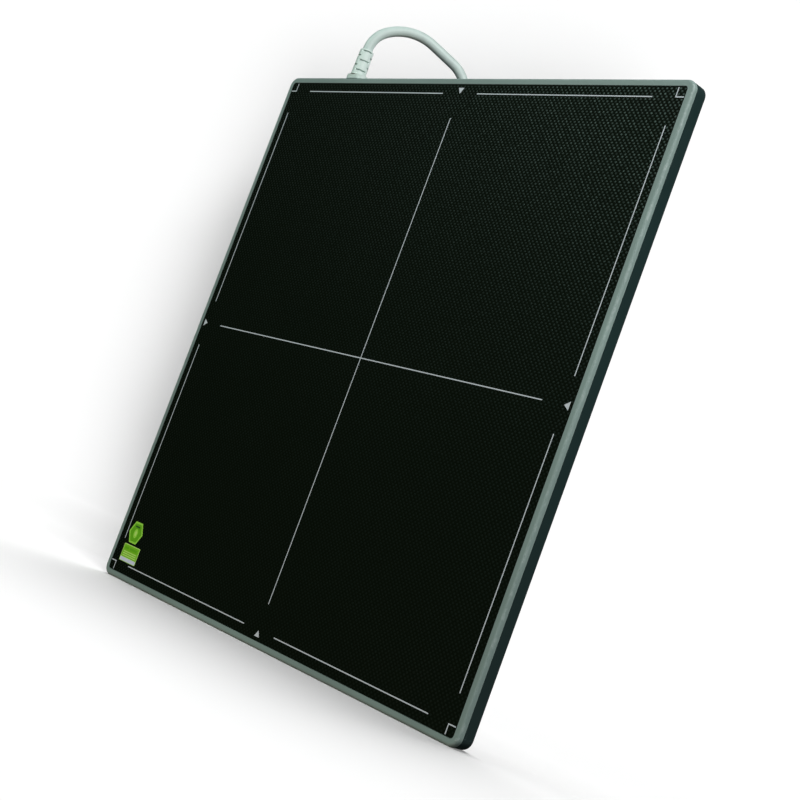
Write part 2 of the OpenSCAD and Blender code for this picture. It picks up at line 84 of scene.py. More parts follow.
class Material:
    """A node material whose patterns are drawn in object coordinates, in metres."""

    SOCKETS = {
        "colour": "Base Color", "rough": "Roughness", "metal": "Metallic",
        "normal": "Normal", "spec": "Specular IOR Level",
    }

    def __init__(self, name):
        self.material = bpy.data.materials.new(name)
        self.material.use_nodes = True
        self.tree = self.material.node_tree
        self.tree.nodes.clear()
        self.output = self.new("ShaderNodeOutputMaterial")
        self.shader = self.new("ShaderNodeBsdfPrincipled")
        self.feed(self.output.inputs["Surface"], self.shader.outputs[0])

    def new(self, kind, **props):
        node = self.tree.nodes.new(kind)
        for key, value in props.items():
            setattr(node, key, value)
        return node

    def feed(self, socket, value):
        """Links a socket to another node's output, or sets it to a plain value."""
        if isinstance(value, bpy.types.NodeSocket):
            self.tree.links.new(value, socket)
        else:
            socket.default_value = value

    @cached_property
    def coords(self):
        return self.new("ShaderNodeTexCoord").outputs["Object"]

    @cached_property
    def axes(self):
        split = self.new("ShaderNodeSeparateXYZ")
        self.feed(split.inputs[0], self.coords)
        return tuple(split.outputs)

    def math(self, operation, a, b=0.0, c=0.0, clamp=False):
        node = self.new("ShaderNodeMath", operation=operation, use_clamp=clamp)
        for socket, value in zip(node.inputs, (a, b, c)):
            self.feed(socket, value)
        return node.outputs[0]

    def plus(self, a, b):
        return self.math("ADD", a, b)

    def minus(self, a, b):
        return self.math("SUBTRACT", a, b)

    def times(self, a, b):
        return self.math("MULTIPLY", a, b)

    def scaled(self, x, y, z, vector=None):
        node = self.new("ShaderNodeVectorMath", operation="MULTIPLY")
        self.feed(node.inputs[0], vector or self.coords)
        node.inputs[1].default_value = (x, y, z)
        return node.outputs[0]

    def turned(self, degrees):
        node = self.new("ShaderNodeVectorRotate", rotation_type="Y_AXIS")
        self.feed(node.inputs["Vector"], self.coords)
        node.inputs["Angle"].default_value = math.radians(degrees)
        return node.outputs[0]

    def noise(self, scale, detail=3.0, rough=0.55, vector=None):
        node = self.new("ShaderNodeTexNoise")
        self.feed(node.inputs["Vector"], vector or self.coords)
        node.inputs["Scale"].default_value = scale
        node.inputs["Detail"].default_value = detail
        node.inputs["Roughness"].default_value = rough
        return node.outputs["Fac"]

    def cells(self, scale, feature="F1"):
        node = self.new("ShaderNodeTexVoronoi", feature=feature)
        self.feed(node.inputs["Vector"], self.coords)
        node.inputs["Scale"].default_value = scale
        return node.outputs["Distance"]

    def span(self, value, over=(0.3, 0.7), to=(0.0, 1.0)):
        """Maps one range onto another, clamped; by default the middle of a noise."""
        node = self.new("ShaderNodeMapRange", clamp=True)
        for socket, number in zip(node.inputs, (value, *over, *to)):
            self.feed(socket, number)
        return node.outputs[0]

    def mix(self, amount, a, b):
        node = self.new("ShaderNodeMix", data_type="RGBA")
        self.feed(node.inputs[0], amount)
        self.feed(node.inputs[6], a)
        self.feed(node.inputs[7], b)
        return node.outputs[2]

    def bump(self, height, distance, strength, under=None):
        node = self.new("ShaderNodeBump")
        node.inputs["Strength"].default_value = strength
        node.inputs["Distance"].default_value = distance
        self.feed(node.inputs["Height"], height)
        if under is not None:
            self.feed(node.inputs["Normal"], under)
        return node.outputs[0]

    def set(self, **values):
        for key, value in values.items():
            self.feed(self.shader.inputs[self.SOCKETS[key]], value)
        return self.material


# ---------- materials ----------

def carbon():
    """Plain-weave carbon fibre under a thin matt resin: 2 mm tows, 4 mm repeat."""
    tow_width = 0.002
    m = Material("carbon_weave")
    x, _, z = m.axes
    waver = m.times(m.minus(m.noise(scale=9.0, detail=2.0), 0.5), 0.0009)
    column = m.math("DIVIDE", m.plus(x, waver), tow_width)
    row = m.math("DIVIDE", m.minus(z, waver), tow_width)

    def off_centre(place):
        """Squared distance from the middle of a tow, 1 at its edges."""
        off = m.math("ABSOLUTE", m.math("MULTIPLY_ADD", m.math("FRACT", place), 2.0, -1.0))
        return m.times(off, off)

    def tow(across, along):
        return m.times(m.minus(1.0, across), m.math("MULTIPLY_ADD", along, -0.55, 1.0))

    cell = m.plus(m.math("FLOOR", column), m.math("FLOOR", row))
    warp_on_top = m.math("FLOORED_MODULO", cell, 2.0)

    def woven(weft_value, warp_value):
        return m.plus(m.times(weft_value, m.minus(1.0, warp_on_top)),
                      m.times(warp_value, warp_on_top))

    off_x, off_z = off_centre(column), off_centre(row)
    weft, warp = tow(across=off_z, along=off_x), tow(across=off_x, along=off_z)
    height = woven(weft, warp)
    fibres = woven(
        m.noise(scale=220.0, detail=2.0, rough=0.6, vector=m.scaled(1.0, 1.0, 22.0)),
        m.noise(scale=220.0, detail=2.0, rough=0.6, vector=m.scaled(22.0, 1.0, 1.0)))

    # weft tows on top catch the light through lower roughness and more specular, and also get a
    # lighter colour as painted sheen; warp tows stay dark
    shine = m.times(weft, m.minus(1.0, warp_on_top))
    shine = m.times(shine, m.span(fibres, over=(0.25, 0.75), to=(0.6, 1.15)))
    shine = m.times(shine, m.span(m.noise(scale=330.0, detail=1.0, rough=0.5), to=(0.55, 1.2)))
    # painted sheen: where the shine mask is high the tows take the lighter colour, elsewhere
    # the darker one
    colour = m.mix(m.span(shine, over=(0.05, 0.9)),
                   (0.0031, 0.0051, 0.0026, 1.0), (0.0038, 0.0068, 0.0042, 1.0))
    handled = m.span(m.noise(scale=18.0, detail=4.0, rough=0.6), over=(0.45, 0.75))
    rough = m.plus(m.span(shine, over=(0.0, 1.0), to=(0.50, 0.29)), m.times(handled, 0.05))
    spec = m.span(shine, over=(0.15, 0.95), to=(0.008, 0.21))
    normal = m.bump(height, distance=0.00006, strength=0.9)
    normal = m.bump(fibres, distance=0.00001, strength=0.4, under=normal)
    specks = m.span(m.noise(scale=900.0, detail=1.0, rough=0.4), over=(0.76, 0.82))
    colour = m.mix(m.times(specks, 0.012), colour, srgb(120, 125, 122))
    m.shader.inputs["Specular Tint"].default_value = (0.72, 1.0, 0.88, 1.0)
    return m.set(colour=colour, rough=rough, spec=spec, normal=normal)


def scratches(m):
    """Fine lines in three directions, each kept to scattered patches."""
    total = None
    for angle in (12, 77, -38):
        stretched = m.scaled(1.0, 1.0, 60.0, m.turned(angle))
        line = m.span(m.noise(scale=40.0, detail=2.0, rough=0.5, vector=stretched),
                      over=(0.72, 0.72 + 0.05))
        patch = m.span(m.noise(scale=14.0 + angle * 0.03, detail=2.0, rough=0.5,
                               vector=m.scaled(1.0, 1.0, 1.0)), over=(0.48, 0.62))
        marks = m.times(line, patch)
        total = marks if total is None else m.math("MAXIMUM", total, marks)
    return total


def edge_wear(m):
    """Rubbed front edges and knocked corners of the panel."""
    x, y, z = m.axes
    from_side = m.minus(HALF_SIDE, m.math("ABSOLUTE", x))
    from_end = m.minus(HALF_SIDE, m.math("ABSOLUTE", z))
    from_edge = m.math("MINIMUM", from_side, from_end)
    from_corner = m.plus(from_side, from_end)
    from_front = m.plus(y, FRONT_DEPTH)
    rub = m.times(m.span(from_edge, over=(0.0002, 0.0016), to=(1.0, 0.0)),
                  m.span(from_front, over=(0.0004, 0.0028), to=(1.0, 0.0)))
    rub = m.times(rub, m.span(m.noise(scale=120.0, detail=4.0, rough=0.7), over=(0.5, 0.64)))
    knock = m.times(m.span(from_corner, over=(0.004, 0.014), to=(1.0, 0.0)),
                    m.span(m.noise(scale=300.0, rough=0.65), over=(0.6, 0.66)))
    return m.math("MAXIMUM", m.times(rub, 0.35), m.times(knock, 0.5), clamp=True)


def paint(name, base, worn, rough, spec, flake=0.0):
    """Fine textured paint on metal, rubbed along its outer edges and corners."""
    grain = 0.00002
    m = Material(name)
    fine = m.noise(scale=1500.0, rough=0.6)
    mottle = m.noise(scale=260.0, rough=0.6)
    cloud = m.noise(scale=7.0, rough=0.6)
    colour = m.mix(m.span(cloud), shade(base, 0.86), shade(base, 1.12))
    colour = m.mix(m.span(mottle, over=(0.35, 0.75), to=(0.0, 0.25)), colour, base)
    if flake:
        flakes = m.span(m.cells(scale=2600.0), over=(0.0, 0.25), to=(1.0, 0.0))
        colour = m.mix(m.times(flakes, flake), colour, worn)
    roughness = m.plus(m.span(mottle, to=(rough - 0.05, rough + 0.05)),
                       m.span(cloud, to=(-0.03, 0.03)))
    colour = m.mix(m.times(scratches(m), 0.25), colour, worn)
    wear = edge_wear(m)
    colour = m.mix(wear, colour, worn)
    roughness = m.minus(roughness, m.times(wear, 0.15))
    normal = m.bump(fine, distance=grain, strength=0.8)
    normal = m.bump(mottle, distance=grain * 1.5, strength=0.4, under=normal)
    return m.set(colour=colour, rough=roughness, normal=normal, spec=spec)


def ink(name, base):
    m = Material(name)
    worn = m.span(m.noise(scale=420.0, detail=4.0, rough=0.7), over=(0.6, 0.75))
    colour = m.mix(m.times(worn, 0.35), base, shade(base, 0.55))
    faded = m.span(m.noise(scale=60.0), over=(0.35, 0.7), to=(0.0, 0.2))
    colour = m.mix(faded, colour, shade(base, 0.8))
    return m.set(colour=colour, rough=m.span(m.noise(scale=300.0), to=(0.5, 0.68)),
                 normal=m.bump(m.noise(scale=2500.0, detail=2.0),
                               distance=0.000006, strength=0.5), spec=0.3)


def rubber(name, base, rough, dirt, streak=False):
    """Soft grimy rubber; streak draws its pattern out along Z."""
    m = Material(name)
    vector = m.scaled(1.0, 1.0, 0.12) if streak else None
    cloud = m.noise(scale=90.0, detail=4.0, rough=0.6, vector=vector)
    colour = m.mix(m.span(cloud), shade(base, 0.93), shade(base, 1.04))
    grime = m.span(m.noise(scale=35.0, detail=5.0, rough=0.7), over=(0.52, 0.72))
    colour = m.mix(m.times(grime, dirt), colour, shade(base, 0.45))
    grain = m.noise(scale=1800.0, detail=2.0, rough=0.5, vector=vector)
    return m.set(colour=colour, rough=m.span(cloud, to=(rough - 0.07, rough + 0.07)),
                 normal=m.bump(grain, distance=0.000012, strength=0.7), spec=0.35)


def metal(name, base, rough, spots, stretch=(1.0, 1.0, 1.0)):
    """Brushed metal with tarnish spots; a small stretch factor lengthens the grain."""
    m = Material(name)
    brushed = m.noise(scale=500.0, rough=0.6, vector=m.scaled(*stretch))
    colour = m.mix(m.span(brushed), shade(base, 0.85), base)
    tarnish = m.span(m.noise(scale=150.0, detail=4.0, rough=0.65), over=(0.5, 0.75))
    tarnish = m.times(tarnish, spots)
    colour = m.mix(tarnish, colour, shade(base, 0.5))
    roughness = m.plus(m.span(brushed, to=(rough - 0.06, rough + 0.08)), m.times(tarnish, 0.3))
    return m.set(colour=colour, metal=1.0, rough=roughness,
                 normal=m.bump(brushed, distance=0.000008, strength=0.5))


def foil(name):
    """Matt aluminised foil plate with a plain printed border and no wording."""
    border_start, border_end = 0.0022, 0.0028
    m = Material(name)
    x, _, z = m.axes
    lo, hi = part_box("rating_plate")

    def from_edge(place, low, high):
        off = m.math("ABSOLUTE", m.minus(place, (low + high) / 2))
        return m.minus((high - low) / 2, off)

    inset = m.math("MINIMUM", from_edge(x, lo.x, hi.x), from_edge(z, lo.z, hi.z))
    line = m.times(m.math("GREATER_THAN", inset, border_start),
                   m.math("LESS_THAN", inset, border_end))
    brushed = m.noise(scale=420.0, rough=0.6, vector=m.scaled(0.04, 1.0, 1.0))
    colour = m.mix(m.span(brushed), srgb(168, 172, 174), srgb(188, 191, 192))
    dull = m.span(m.noise(scale=28.0, detail=4.0, rough=0.6), over=(0.5, 0.75), to=(0.0, 0.25))
    colour = m.mix(dull, colour, srgb(140, 143, 140))
    colour = m.mix(line, colour, srgb(70, 76, 78))
    return m.set(colour=colour, metal=m.math("MULTIPLY_ADD", line, -0.55, 0.6),
                 rough=m.span(brushed, to=(0.36, 0.48)),
                 normal=m.bump(brushed, distance=0.000006, strength=0.4))


def board(name, base):
    """Circuit board with a net of paler copper lines."""
    m = Material(name)
    gap = m.cells(scale=420.0, feature="DISTANCE_TO_EDGE")
    copper = m.times(m.span(gap, over=(0.02, 0.05), to=(1.0, 0.0)), 0.35)
    colour = m.mix(copper, base, shade(base, 2.2))
    cloud = m.span(m.noise(scale=12.0), over=(0.4, 0.7), to=(0.0, 0.25))
    colour = m.mix(cloud, colour, shade(base, 0.7))
    return m.set(colour=colour, rough=m.span(m.noise(scale=200.0, detail=2.0), to=(0.3, 0.42)),
                 normal=m.bump(copper, distance=0.00002, strength=0.6))


def soft(name, base, scale=700.0, depth=0.00006, rough=0.9):
    """Matt material with a fine cell structure."""
    m = Material(name)
    cell = m.cells(scale)
    colour = m.mix(m.span(cell, over=(0.0, 0.6)), shade(base, 0.7), base)
    return m.set(colour=colour, rough=m.span(m.noise(scale=90.0), to=(rough - 0.05, rough)),
                 normal=m.bump(cell, distance=depth, strength=0.8), spec=0.2)


def plastic(name, base, rough, spec=0.5):
    m = Material(name)
    mottle = m.noise(scale=240.0, rough=0.6)
    colour = m.mix(m.span(mottle), shade(base, 0.9), base)
    return m.set(colour=colour, rough=m.span(mottle, to=(rough - 0.05, rough + 0.08)),
                 normal=m.bump(m.noise(scale=1600.0, detail=2.0),
                               distance=0.000008, strength=0.5), spec=spec)


def film(name, base):
    m = Material(name)
    traces = m.noise(scale=300.0, detail=1.0, rough=0.4, vector=m.scaled(1.0, 0.1, 1.0))
    colour = m.mix(m.span(traces, over=(0.4, 0.6)), shade(base, 0.7), base)
    return m.set(colour=colour, rough=m.span(traces, to=(0.22, 0.34)),
                 normal=m.bump(traces, distance=0.00001, strength=0.4))


# slot and material name, maker, and the maker's settings
SURFACES = [
    ("white_ink", ink, dict(base=srgb(188, 194, 200))),
    ("green_label", plastic, dict(base=srgb(120, 186, 44), rough=0.45, spec=0.4)),
    ("light_frame_paint", paint, dict(base=srgb(116, 134, 129), worn=srgb(180, 190, 187),
                                      rough=0.50, spec=0.30, flake=0.10)),
    ("dark_cover_paint", paint, dict(base=srgb(20, 39, 38), worn=srgb(60, 76, 75),
                                     rough=0.55, spec=0.18)),
    ("black_rubber", rubber, dict(base=srgb(24, 26, 26), rough=0.65, dirt=0.1)),
    ("pale_rubber", rubber, dict(base=srgb(192, 207, 201), rough=0.5, dirt=0.14)),
    ("dark_steel", metal, dict(base=srgb(70, 74, 76), rough=0.38, spots=0.3)),
    ("steel", metal, dict(base=srgb(160, 163, 166), rough=0.3, spots=0.2)),
    ("plate_foil", foil, {}),
    ("grey_foam", soft, dict(base=srgb(90, 92, 96))),
    ("scintillator_screen", soft, dict(base=srgb(236, 236, 222), scale=2500.0,
                                       depth=0.00001, rough=0.8)),
    ("sensor_glass", plastic, dict(base=srgb(86, 98, 106), rough=0.12, spec=0.6)),
    ("lead_sheet", metal, dict(base=srgb(96, 99, 104), rough=0.6, spots=0.4)),
    ("bare_aluminium", metal, dict(base=srgb(176, 180, 184), rough=0.36, spots=0.15,
                                   stretch=(0.08, 1, 1))),
    ("flex_film", film, dict(base=srgb(190, 120, 44))),
    ("chip_black", plastic, dict(base=srgb(26, 26, 28), rough=0.55)),
    ("green_board", board, dict(base=srgb(22, 92, 60))),
    ("brass", metal, dict(base=srgb(200, 168, 96), rough=0.3, spots=0.25)),
    ("ivory_plastic", plastic, dict(base=srgb(222, 218, 200), rough=0.45)),
    ("ribbon_film", film, dict(base=srgb(206, 208, 214))),
    ("thermal_pad", soft, dict(base=srgb(120, 134, 178), scale=1800.0,
                               depth=0.00001, rough=0.7)),
    ("wire_red", plastic, dict(base=srgb(160, 40, 36), rough=0.5)),
    ("plug_metal", metal, dict(base=srgb(178, 182, 186), rough=0.28, spots=0.18,
                               stretch=(1, 1, 0.06))),
    ("contact_gold", metal, dict(base=srgb(220, 182, 98), rough=0.22, spots=0.1)),
]
materials = {"carbon_fibre": carbon()}
for name, make, settings in SURFACES:
    materials[name] = make(name, **settings)


# ---------- mesh helpers ----------

def add_object(name, data):
    o = bpy.data.objects.new(name, data)
    bpy.context.scene.collection.objects.link(o)
    return o


def piece(name, verts, faces, mats, face_mats=None, smooth=True, sharp_deg=35.0):
    """A mesh object with outward normals and its steeper edges marked sharp."""
    mesh = bpy.data.meshes.new(name)
    mesh.from_pydata([tuple(v) for v in verts], [], faces)
    bm = bmesh.new()
    bm.from_mesh(mesh)
    bmesh.ops.recalc_face_normals(bm, faces=bm.faces)
    for face in bm.faces:
        face.smooth = smooth
    for edge in bm.edges:
        if len(edge.link_faces) == 2 and edge.calc_face_angle(0.0) > math.radians(sharp_deg):
            edge.smooth = False
    bm.to_mesh(mesh)
    bm.free()
    for material in mats:
        mesh.materials.append(material)
    if face_mats is not None:
        mesh.polygons.foreach_set("material_index", face_mats)
    mesh.update()
    return add_object(name, mesh)


def rings(rows, wrap=False):
    """Skin over equal rings of points; wrap joins last to first, else the ends are capped."""
    verts = [point for row in rows for point in row]
    n, count = len(rows[0]), len(rows)
    faces = []
    for i in range(count if wrap else count - 1):
        i2 = (i + 1) % count
        for j in range(n):
            j2 = (j + 1) % n
            faces.append((i * n + j, i * n + j2, i2 * n + j2, i2 * n + j))
    if not wrap:
        faces.append(tuple(range(n)))
        faces.append(tuple((count - 1) * n + j for j in range(n)))
    return verts, faces


def spaced(start, stop, step):
    """Evenly spaced values from start, stopping short of stop."""
    return [start + i * step for i in range(math.ceil((stop - start) / step))]


def smoothstep(t):
    t = max(0.0, min(1.0, t))
    return t * t * (3 - 2 * t)


# ---------- stickers on the front face, in millimetres ----------

LABEL_BACK, LABEL_FRONT = -14.77, -14.868
# layers of a sticker: back y, front y, width of the rolled edge
BACKING = (LABEL_BACK, LABEL_FRONT, 0.02)
PANEL = (LABEL_FRONT + 0.02, LABEL_FRONT - 0.008, 0.004)
PRINT = (LABEL_FRONT - 0.006, LABEL_FRONT - 0.014, 0.003)
TOP_PRINT = (LABEL_FRONT - 0.012, LABEL_FRONT - 0.020, 0.003)

HEX_X, HEX_Z = -203.6, -188.9      # centre of the hexagonal sticker
EMBLEM_Z = HEX_Z - 0.6             # centre of the ovals on it
BAR_PITCH = 1.7                    # between the pale bars of the strip sticker

RIM, DEEP, MID, PALE, WHITE, DARK = range(6)
sticker_mats = [
    plastic("label_rim_green", srgb(150, 212, 70), rough=0.42, spec=0.3),
    plastic("label_deep_green", srgb(98, 170, 20), rough=0.42, spec=0.3),
    plastic("label_mid_green", srgb(116, 186, 26), rough=0.42, spec=0.3),
    plastic("label_pale", srgb(184, 226, 112), rough=0.45, spec=0.4),
    plastic("label_white", srgb(206, 212, 232), rough=0.45, spec=0.4),
    plastic("label_dark", srgb(40, 88, 20), rough=0.45, spec=0.4),
]


def rounded(points, radius):
    """A closed outline with its corners rounded in six steps."""
    steps = 6
    out = []
    for i, point in enumerate(points):
        corner = Vector(point)
        to_last = (Vector(points[i - 1]) - corner).normalized()
        to_next = (Vector(points[(i + 1) % len(points)]) - corner).normalized()
        half = math.acos(max(-1, min(1, to_last.dot(to_next)))) / 2
        cut = radius / math.tan(half)
        centre = corner + (to_last + to_next).normalized() * (radius / math.sin(half))
        start = corner + to_last * cut - centre
        end = corner + to_next * cut - centre
        angle = math.atan2(start.y, start.x)
        turn = (math.atan2(end.y, end.x) - angle + math.pi) % (2 * math.pi) - math.pi
        for k in range(steps + 1):
            t = angle + turn * k / steps
            out.append((centre.x + radius * math.cos(t), centre.y + radius * math.sin(t)))
    return out


def box_outline(x0, z0, x1, z1, radius=0.3):
    return rounded([(x0, z0), (x1, z0), (x1, z1), (x0, z1)], radius)


def oval(x, z, radius_x, radius_z, count=40):
    angles = [math.radians(360 * i / count) for i in range(count)]
    return [(x + radius_x * math.cos(t), z + radius_z * math.sin(t)) for t in angles]


def hexagon(radius):
    return oval(HEX_X, HEX_Z, radius, radius, count=6)


def slab(outline, back, front, roll):
    """A closed thin plate facing -Y with slightly rolled front edges."""
    centre_x = sum(x for x, _ in outline) / len(outline)
    centre_z = sum(z for _, z in outline) / len(outline)

    def shrunk(inset):
        out = []
        for x, z in outline:
            arm = Vector((x - centre_x, z - centre_z))
            k = max(0.0, 1 - inset / max(arm.length, 1e-6))
            out.append((centre_x + arm.x * k, centre_z + arm.y * k))
        return out

    levels = [
        (back, outline),
        (front + roll, outline),
        (front + roll * 0.3, shrunk(roll * 0.7)),
        (front, shrunk(roll * 1.8)),
    ]
    return rings([[(x * MM, y * MM, z * MM) for x, z in points] for y, points in levels])


def sticker(name, label, plates):
    """One sticker in place of a CAD label; plates are (outline, layer, colour)."""
    verts, faces, face_mats = [], [], []
    for outline, layer, colour in plates:
        slab_verts, slab_faces = slab(outline, *layer)
        base = len(verts)
        verts += slab_verts
        faces += [tuple(i + base for i in face) for face in slab_faces]
        face_mats += [colour] * len(slab_faces)
    o = piece(name, verts, faces, sticker_mats, face_mats, smooth=False)
    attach(o, "detector")
    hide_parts(label)
    return o


def strip_plates():
    lo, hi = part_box("strip_label")
    x0, z0, x1, z1 = lo.x / MM, lo.z / MM, hi.x / MM, hi.z / MM
    plates = [
        (box_outline(x0, z0, x1, z1, 0.6), BACKING, PALE),
        (box_outline(x0 + 0.7, z0 + 3.7, x1 - 0.7, z1 - 0.7), PANEL, MID),
        (box_outline(x0 + 0.5, z0 + 0.4, x1 - 0.5, z0 + 3.3), PANEL, WHITE),
    ]
    for i in range(3):
        z = z0 + 5.0 + i * BAR_PITCH
        plates.append((box_outline(x0 + 2.2, z - 0.45, x1 - 2.2, z + 0.45, 0.2), PRINT, PALE))
    for left, right in ((x0 + 2.6, x0 + 8.6), (x0 + 10.4, x1 - 3.2)):
        plates.append((box_outline(left, z1 - 4.4, right, z1 - 2.4), PRINT, DEEP))
    return plates


hex_sticker = sticker("hex_sticker", "hex_label", [
    (rounded(hexagon(10.7), 0.7), BACKING, RIM),
    (rounded(hexagon(8.9), 0.5), PANEL, DEEP),
    (oval(HEX_X, EMBLEM_Z, 2.9, 4.0), PRINT, RIM),
    (oval(HEX_X, EMBLEM_Z, 1.3, 2.1), TOP_PRINT, PALE),
    (box_outline(HEX_X - 3.4, HEX_Z + 4.6, HEX_X + 3.4, HEX_Z + 5.9), PRINT, DARK),
])
strip_sticker = sticker("strip_sticker", "strip_label", strip_plates())


# ---------- bend relief ----------

EXIT_X, EXIT_Y = -0.1475, -0.0075
RELIEF_Z = 0.2346              # heights on the sleeve are measured from here
# sleeve, in mm
RELIEF_FOOT, RELIEF_TOP = 0.12, 23.1
FOOT_RADIUS, TOP_RADIUS, BORE_RADIUS = 6.4, 5.9, 4.34
FLARE, FLARE_HEIGHT = 0.5, 0.9
TOP_ROUND = 0.5
# rows of opposite slots, each row a quarter turn from the last
SLOT_ROWS = [3.6 + i * 4.3 for i in range(5)]
SLOT_HEIGHT, SLOT_EDGE, SLOT_FLOOR_RADIUS = 1.2, 0.2, 4.47
SLOT_TURN = math.radians(150)
RELIEF_SEGMENTS = 144


def relief_radius(z, theta):
    """Outside radius at a height and an angle around the sleeve."""
    r = FOOT_RADIUS + (TOP_RADIUS - FOOT_RADIUS) * z / RELIEF_TOP
    r += FLARE * (1 - smoothstep(z / FLARE_HEIGHT))
    into_round = max(0.0, (z - (RELIEF_TOP - TOP_ROUND)) / TOP_ROUND)
    r -= TOP_ROUND * (1 - math.sqrt(max(0.0, 1 - into_round ** 2)))
    for i, z0 in enumerate(SLOT_ROWS):
        inside = (smoothstep((z - z0) / SLOT_EDGE + 0.5)
                  * (1 - smoothstep((z - z0 - SLOT_HEIGHT) / SLOT_EDGE + 0.5)))
        facing = abs(math.cos(theta - SLOT_TURN - (i % 2) * math.pi / 2))
        r -= (r - SLOT_FLOOR_RADIUS) * inside * smoothstep((facing - 0.70) / 0.08)
    return r


def relief_ring(z, bore=False):
    out = []
    for j in range(RELIEF_SEGMENTS):
        theta = 2 * math.pi * j / RELIEF_SEGMENTS
        r = BORE_RADIUS if bore else relief_radius(z, theta)
        out.append((EXIT_X + r * MM * math.cos(theta), EXIT_Y + r * MM * math.sin(theta),
                    RELIEF_Z + z * MM))
    return out


def bend_relief():
    """Tapered sleeve: up the outside, over the top and down the bore."""
    heights = spaced(RELIEF_FOOT, RELIEF_TOP, 0.3)
    # closer rings at the slot edges, the foot flare and the rounded top
    for z0 in SLOT_ROWS:
        heights += [z0 + dz for dz in (-0.1, 0.0, 0.1, 0.3, 0.9, 1.1, 1.2, 1.3)]
    heights += [0.25, 0.5, 0.7, 0.9, 22.7, 22.85, 22.95, 23.05, RELIEF_TOP]
    rows = [relief_ring(RELIEF_FOOT, bore=True)]
    rows += [relief_ring(z) for z in sorted(set(round(z, 3) for z in heights))]
    rows += [relief_ring(z, bore=True) for z in (RELIEF_TOP, 20.0, 16.0, 12.0, 8.0, 4.0)]
    material = rubber("relief_rubber", srgb(196, 212, 206), rough=0.5, dirt=0.14)
    o = piece("bend_relief_sleeve", *rings(rows, wrap=True), [material], sharp_deg=50.0)
    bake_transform(o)
    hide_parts("bend_relief", "cable_in_relief")
    return o


relief = bend_relief()


# ---------- cable, in millimetres along its line ----------

CABLE_ROOT = Vector((EXIT_X, EXIT_Y, 0.2593))      # metres
CABLE_RADIUS = 4.3
CABLE_SEGMENTS = 56
BLEND_LENGTH = 12.0
TAIL = 300.0
# legs of the line: bend radius and angle, or None and a straight length
LEGS = [
    (24.5, math.atan2(0.8, 0.6)),
    (43.0, math.atan2(0.8432, 0.5376)),
    (None, 22.5),
    (30.0, math.atan2(0.936, 0.352)),
    (None, TAIL),
]
# the loop lies in an upright plane, 30 degrees from +Y towards +X
TURN = math.radians(30)
OUT = Vector((math.sin(TURN), math.cos(TURN), 0.0))
SIDE = Vector((math.cos(TURN), -math.sin(TURN), 0.0))
UP = Vector((0.0, 0.0, 1.0))


def leg_length(radius, amount):
    return amount if radius is None else radius * amount


LOOP = sum(leg_length(*leg) for leg in LEGS[:-1])


def line_at(s):
    """Point (out, up) from the root and heading angle from UP, s along the cable."""
    if s <= 0:
        return Vector((0.0, s)), 0.0
    point, heading = Vector((0.0, 0.0)), 0.0
    for radius, amount in LEGS:
        step = min(s, leg_length(radius, amount))
        if radius is None:
            point = point + Vector((math.sin(heading), math.cos(heading))) * step
        else:
            end = heading + step / radius
            point = point + radius * Vector((math.cos(heading) - math.cos(end),
                                             math.sin(end) - math.sin(heading)))
            heading = end
        s -= step
    return point, heading


def tether_cable():
    stations = spaced(-8.0, 0.0, 2.0) + spaced(0.0, LOOP, 1.6)
    stations += spaced(LOOP, LOOP + TAIL - 1.0, 4.0) + [LOOP + TAIL]
    rows, weights = [], []
    for s in stations:
        point, heading = line_at(s)
        centre = CABLE_ROOT + (OUT * point.x + UP * point.y) * MM
        normal = OUT * math.cos(heading) - UP * math.sin(heading)
        row = []
        for j in range(CABLE_SEGMENTS):
            t = 2 * math.pi * j / CABLE_SEGMENTS
            row.append(centre + (normal * math.cos(t) + SIDE * math.sin(t)) * CABLE_RADIUS * MM)
        rows.append(row)
        weights += [smoothstep(s / BLEND_LENGTH)] * CABLE_SEGMENTS
    material = rubber("cable_rubber", srgb(184, 200, 195), rough=0.47, dirt=0.12, streak=True)
    o = piece("cable_jacket", *rings(rows), [material], sharp_deg=60.0)
    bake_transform(o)
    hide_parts("tether_cable")
    return o


cable = tether_cable()


# ---------- CAD pieces kept as they are ----------

slots = {s["node"]: s["material_slot"] for s in frame["record"]["subparts"]}
for name, o in nodes.items():
    o.data.materials.clear()
    o.data.materials.append(materials[slots[name]])
    o.data.polygons.foreach_set("use_smooth", [True] * len(o.data.polygons))


# ---------- world ----------

AMBIENT = 0.03


def studio_world():
    """White to the camera, a faint tinted glow to everything else."""
    world = bpy.data.worlds.new("studio")
    world.use_nodes = True
    tree = world.node_tree
    tree.nodes.clear()
    output = tree.nodes.new("ShaderNodeOutputWorld")
    backdrop = tree.nodes.new("ShaderNodeBackground")
    ambient = tree.nodes.new("ShaderNodeBackground")
    mixer = tree.nodes.new("ShaderNodeMixShader")
    path = tree.nodes.new("ShaderNodeLightPath")
    backdrop.inputs["Color"].default_value = (1.0, 1.0, 1.0, 1)
    backdrop.inputs["Strength"].default_value = 1.0
    ambient.inputs["Color"].default_value = (0.90, 1.0, 0.98, 1)
    ambient.inputs["Strength"].default_value = AMBIENT
    tree.links.new(path.outputs["Is Camera Ray"], mixer.inputs[0])
    tree.links.new(ambient.outputs[0], mixer.inputs[1])
    tree.links.new(backdrop.outputs[0], mixer.inputs[2])
    tree.links.new(mixer.outputs[0], output.inputs[0])
    bpy.context.scene.world = world


studio_world()


# ---------- paper sweep ----------

FLOOR_Z = -0.2301
FLOOR_FRONT_Y = -6.0
WALL_Y = 0.088
COVE_RADIUS = 0.045
SHEET_STEP = 0.75
SHEET_HALF_WIDTH, SHEET_COLUMNS = 6.0, 8

